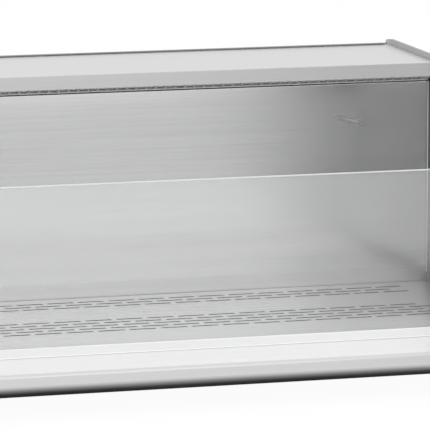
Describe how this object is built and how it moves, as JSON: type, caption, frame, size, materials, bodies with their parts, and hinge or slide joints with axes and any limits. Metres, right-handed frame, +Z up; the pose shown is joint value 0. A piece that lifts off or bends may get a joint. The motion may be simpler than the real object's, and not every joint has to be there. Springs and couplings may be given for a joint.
{
  "type": "countertop refrigerated display case",
  "caption": "Low countertop cold display case: open glazed well with slotted steel deck, rear housing with blower and cooling machinery, folded steel base.",
  "frame": {"origin": "middle of the outline on the surface the feet stand on", "axes": "+Z up, front faces -Y, +X to the right seen from the front"},
  "size_m": [1.3, 0.743, 0.4544],
  "materials": {
    "stainless_skin": "brushed stainless sheet",
    "stainless_deck": "fine satin stainless sheet",
    "clear_glass": "clear float glass with polished edges",
    "dark_trim": "dark moulded trim",
    "gasket_rubber": "soft black rubber",
    "foam": "rigid foam",
    "fin_aluminium": "bare rolled aluminium",
    "copper_tube": "drawn copper",
    "galvanised": "galvanised sheet",
    "rotor_plastic": "moulded fan plastic",
    "plain_steel": "ground steel",
    "black_paint": "black enamel",
    "grey_plastic": "light grey moulded plastic",
    "black_plastic": "fine grained black plastic",
    "display_lens": "dark smoked window",
    "button_grey": "grey button caps",
    "board_green": "circuit board"
  },
  "bodies": {
    "case": {"back_wall": "stainless_skin", "top_cover": "stainless_skin", "front_panel": "stainless_skin", "glass_channel": "stainless_skin", "rear_cover": "stainless_skin", "housing_end_left": "stainless_skin", "housing_end_right": "stainless_skin", "well_liner": "stainless_deck", "deck_bearers": "stainless_deck", "base_pan": "stainless_deck", "front_glass": "clear_glass", "side_glass_left": "clear_glass", "side_glass_right": "clear_glass", "side_rail_left": "dark_trim", "side_rail_right": "dark_trim", "base_end_left": "dark_trim", "base_end_right": "dark_trim", "glass_gasket": "gasket_rubber", "compressor_mounts": "gasket_rubber", "base_foam": "foam", "duct_foam": "foam", "top_foam": "foam", "evaporator_fins": "fin_aluminium", "condenser_fins": "fin_aluminium", "evaporator_tubes": "copper_tube", "condenser_tubes": "copper_tube", "suction_line": "copper_tube", "discharge_line": "copper_tube", "liquid_line": "copper_tube", "filter_drier": "copper_tube", "blower_scroll": "galvanised", "condenser_shroud": "galvanised", "control_box": "galvanised", "temperature_probe": "plain_steel", "probe_clips": "plain_steel", "compressor": "black_paint", "blower_motor": "black_paint", "fan_motor": "black_paint", "drain_pipe": "grey_plastic", "outlet_grille": "grey_plastic", "control_bezel": "black_plastic", "rocker_frame": "black_plastic", "cable_gland": "black_plastic", "foot_front_left": "black_plastic", "foot_front_right": "black_plastic", "foot_rear_left": "black_plastic", "foot_rear_right": "black_plastic", "display_window": "display_lens", "control_board": "board_green"},
    "deck": {"display_deck": "stainless_deck"},
    "blower_rotor": {"blower_shaft": "plain_steel", "blower_rotor_left": "rotor_plastic", "blower_rotor_right": "rotor_plastic"},
    "cooling_fan": {"condenser_fan": "rotor_plastic"},
    "rocker": {"rocker_switch": "black_plastic"},
    "set_button": {"button_set": "button_grey"},
    "up_button": {"button_up": "button_grey"},
    "down_button": {"button_down": "button_grey"},
    "defrost_button": {"button_defrost": "button_grey"}
  },
  "joints": [
    {"name": "deck_lift", "type": "slide", "parent": "case", "child": "deck", "axis": [0, 0, 1], "range_m": [0, 0.15]},
    {"name": "blower_spin", "type": "hinge", "parent": "case", "child": "blower_rotor", "pos_m": [0, 0.176, 0.394], "axis": [1, 0, 0], "continuous": true},
    {"name": "condenser_fan_spin", "type": "hinge", "parent": "case", "child": "cooling_fan", "pos_m": [0.1, 0.2944, 0.1122], "axis": [1, 0, 0], "continuous": true},
    {"name": "rocker_tilt", "type": "hinge", "parent": "case", "child": "rocker", "pos_m": [-0.005, 0.3613, 0.38], "axis": [1, 0, 0], "range_deg": [-16, 0]},
    {"name": "set_press", "type": "slide", "parent": "case", "child": "set_button", "axis": [0, -1, 0], "range_m": [0, 0.0012], "stiffness_N_per_m": 600},
    {"name": "up_press", "type": "slide", "parent": "case", "child": "up_button", "axis": [0, -1, 0], "range_m": [0, 0.0012], "stiffness_N_per_m": 600},
    {"name": "down_press", "type": "slide", "parent": "case", "child": "down_button", "axis": [0, -1, 0], "range_m": [0, 0.0012], "stiffness_N_per_m": 600},
    {"name": "defrost_press", "type": "slide", "parent": "case", "child": "defrost_button", "axis": [0, -1, 0], "range_m": [0, 0.0012], "stiffness_N_per_m": 600}
  ]
}
